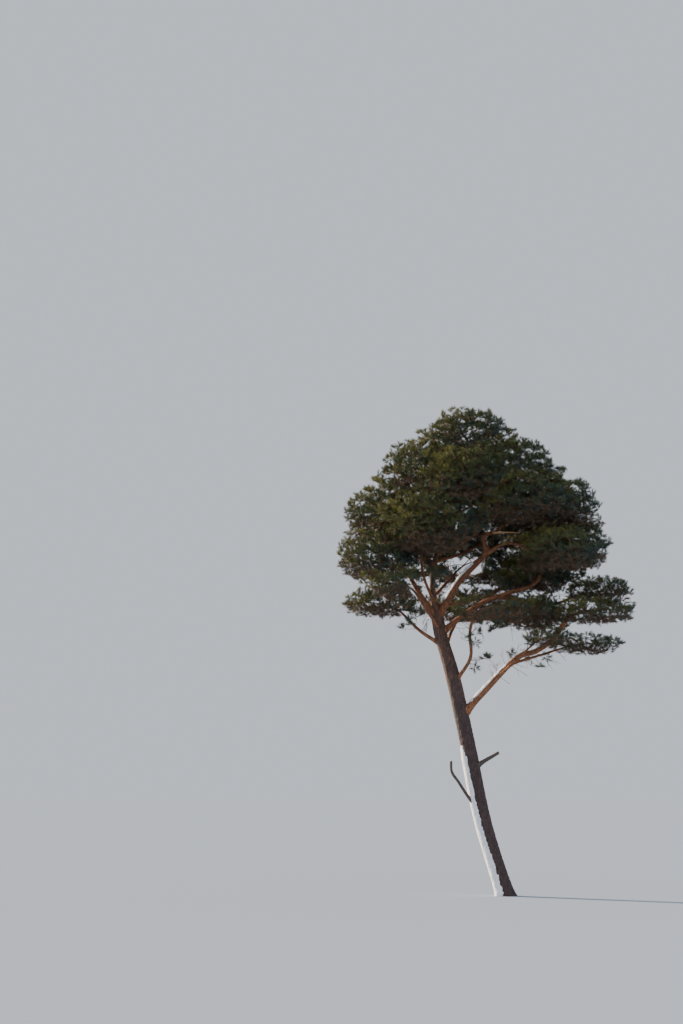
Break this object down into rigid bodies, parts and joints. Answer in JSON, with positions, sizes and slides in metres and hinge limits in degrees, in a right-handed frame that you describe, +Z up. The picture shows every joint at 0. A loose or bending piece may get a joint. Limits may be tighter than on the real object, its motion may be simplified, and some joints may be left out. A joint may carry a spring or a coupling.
{
  "type": "scots pine tree",
  "caption": "Leaning Scots pine: bare snow-plastered trunk, forked top, boughs sweeping out to one side and flat tiers of needles.",
  "frame": {"origin": "centre of the flat cut under the trunk, at ground level", "axes": "+Z up, +X to the side that the crown reaches furthest to, -Y towards the viewer"},
  "size_m": [8.3753, 5.6155, 13.6174],
  "materials": {
    "bark_grey": "deep plated grey-brown bark",
    "bark_orange": "thin flaking orange bark",
    "dead_wood": "weathered, barkless",
    "broken_wood": "freshly torn",
    "needles": "matt needles in tufts",
    "snow": "wind-packed snow"
  },
  "bodies": {
    "root": {"bough_back_centre": "bark_orange", "bough_back_left_high": "bark_orange", "bough_back_low": "bark_orange", "bough_back_right": "bark_orange", "bough_back_right_high": "bark_orange", "bough_back_right_low": "bark_orange", "bough_crooked": "bark_orange", "bough_front_left_low": "bark_orange", "bough_front_right_high": "bark_orange", "bough_inner_right": "bark_orange", "bough_left_low": "bark_orange", "bough_left_shoulder": "bark_orange", "bough_long_right": "bark_orange", "bough_low_right": "bark_orange", "bough_outer_right": "bark_orange", "bough_pale": "bark_orange", "bough_plate_mid": "bark_orange", "bough_under_front": "bark_orange", "bough_under_right": "bark_orange", "bough_upper_back": "bark_orange", "bough_upper_front": "bark_orange", "bough_upper_left": "bark_orange", "bough_upper_right": "bark_orange", "broken_end": "broken_wood", "fork_left": "bark_orange", "fork_right": "bark_orange", "fork_right_crook": "bark_orange", "fork_right_side": "bark_orange", "needles_back_centre": "needles", "needles_back_left_high": "needles", "needles_back_low": "needles", "needles_back_right": "needles", "needles_back_right_high": "needles", "needles_back_right_low": "needles", "needles_crown_top": "needles", "needles_front_left_high": "needles", "needles_front_left_low": "needles", "needles_front_right": "needles", "needles_front_right_high": "needles", "needles_inner_plate": "needles", "needles_left_low": "needles", "needles_left_mid": "needles", "needles_left_shoulder": "needles", "needles_plate_mid": "needles", "needles_plate_right": "needles", "needles_plate_right_inner": "needles", "needles_plate_right_low": "needles", "needles_plate_right_upper": "needles", "needles_right_inner": "needles", "needles_right_mid": "needles", "needles_right_shoulder": "needles", "needles_upper_back": "needles", "needles_upper_front": "needles", "needles_upper_left": "needles", "needles_upper_right": "needles", "snag_left": "dead_wood", "snow_on_trunk": "snow", "stub_right": "dead_wood", "trunk": "bark_grey"}
  },
  "joints": []
}
